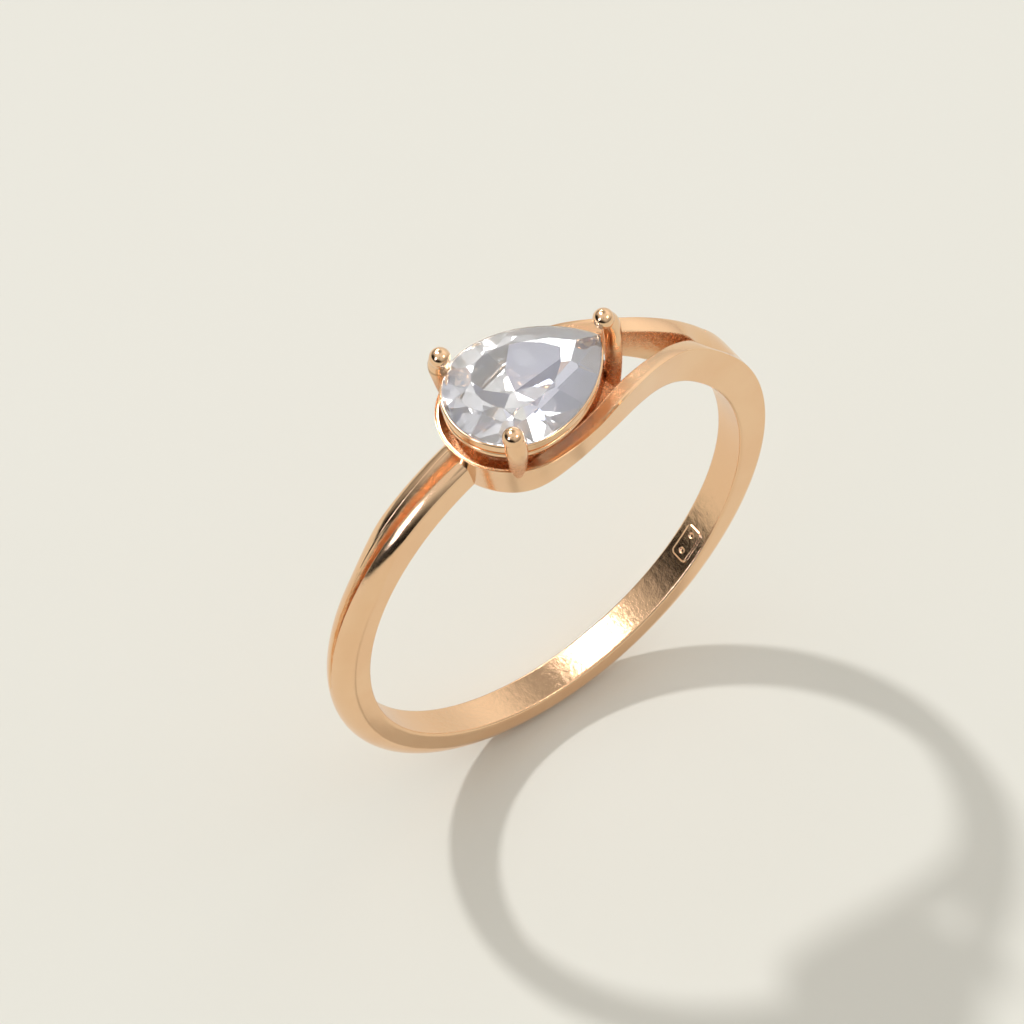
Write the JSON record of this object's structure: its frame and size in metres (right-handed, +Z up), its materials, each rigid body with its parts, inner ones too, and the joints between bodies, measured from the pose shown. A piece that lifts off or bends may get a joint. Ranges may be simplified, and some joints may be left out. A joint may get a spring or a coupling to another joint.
{
  "type": "engagement ring",
  "caption": "Bypass solitaire finger ring: grooved shank parting into two arms round an east-west pear-cut stone in a ball-clawed basket.",
  "frame": {"origin": "centre of the finger hole, half way across the band", "axes": "+Y along the finger, +Z up to the stone, +X towards the pointed tip of the pear-cut stone"},
  "size_m": [0.02, 0.0055, 0.0223],
  "materials": {
    "rose_gold": "polished rose gold alloy",
    "clear_stone": "colourless faceted gem, polished"
  },
  "bodies": {
    "root": {"shank": "rose_gold", "front_arm": "rose_gold", "back_arm": "rose_gold", "seat_rail": "rose_gold", "base_rail": "rose_gold", "prong_tip": "rose_gold", "prong_front": "rose_gold", "prong_back": "rose_gold", "stone": "clear_stone"}
  },
  "joints": []
}
